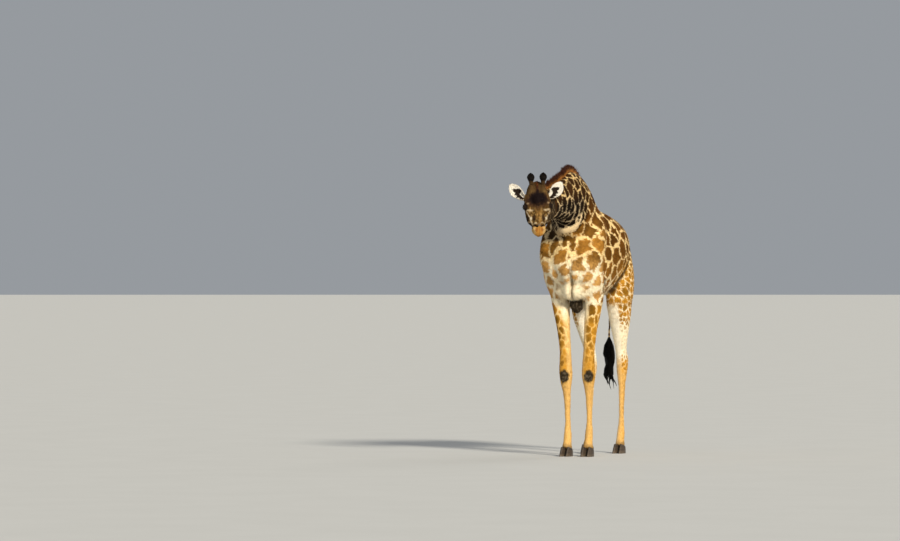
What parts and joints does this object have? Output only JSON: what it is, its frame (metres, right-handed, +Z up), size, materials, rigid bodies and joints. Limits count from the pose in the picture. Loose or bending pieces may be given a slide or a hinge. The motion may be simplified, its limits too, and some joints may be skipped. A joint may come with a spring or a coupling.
{
  "type": "giraffe",
  "caption": "Life-size still model of a Masai giraffe, standing on its hooves with its neck arched forward and its face hanging down towards the viewer.",
  "frame": {"origin": "on the ground at the centre of the bounding box's bottom, between the hooves", "axes": "+Z up, -Y the way the giraffe faces, +X its left side"},
  "size_m": [0.7246, 2.8972, 3.1664],
  "materials": {
    "coat": "matte",
    "ear": "matte",
    "mane": "matte",
    "black_hair": "satin",
    "hoof": "satin",
    "eye": "gloss"
  },
  "bodies": {
    "root": {"trunk": "coat", "neck": "coat", "head": "coat", "foreleg_left": "coat", "foreleg_right": "coat", "hind_leg_left": "coat", "hind_leg_right": "coat", "tail": "coat", "ear_left": "ear", "ear_right": "ear", "mane": "mane", "tail_brush": "black_hair", "ossicone_left": "black_hair", "ossicone_right": "black_hair", "eye_left": "eye", "eye_right": "eye", "hoof_fore_left_outer": "hoof", "hoof_fore_left_inner": "hoof", "hoof_fore_right_outer": "hoof", "hoof_fore_right_inner": "hoof", "hoof_hind_left_outer": "hoof", "hoof_hind_left_inner": "hoof", "hoof_hind_right_outer": "hoof", "hoof_hind_right_inner": "hoof"}
  },
  "joints": []
}
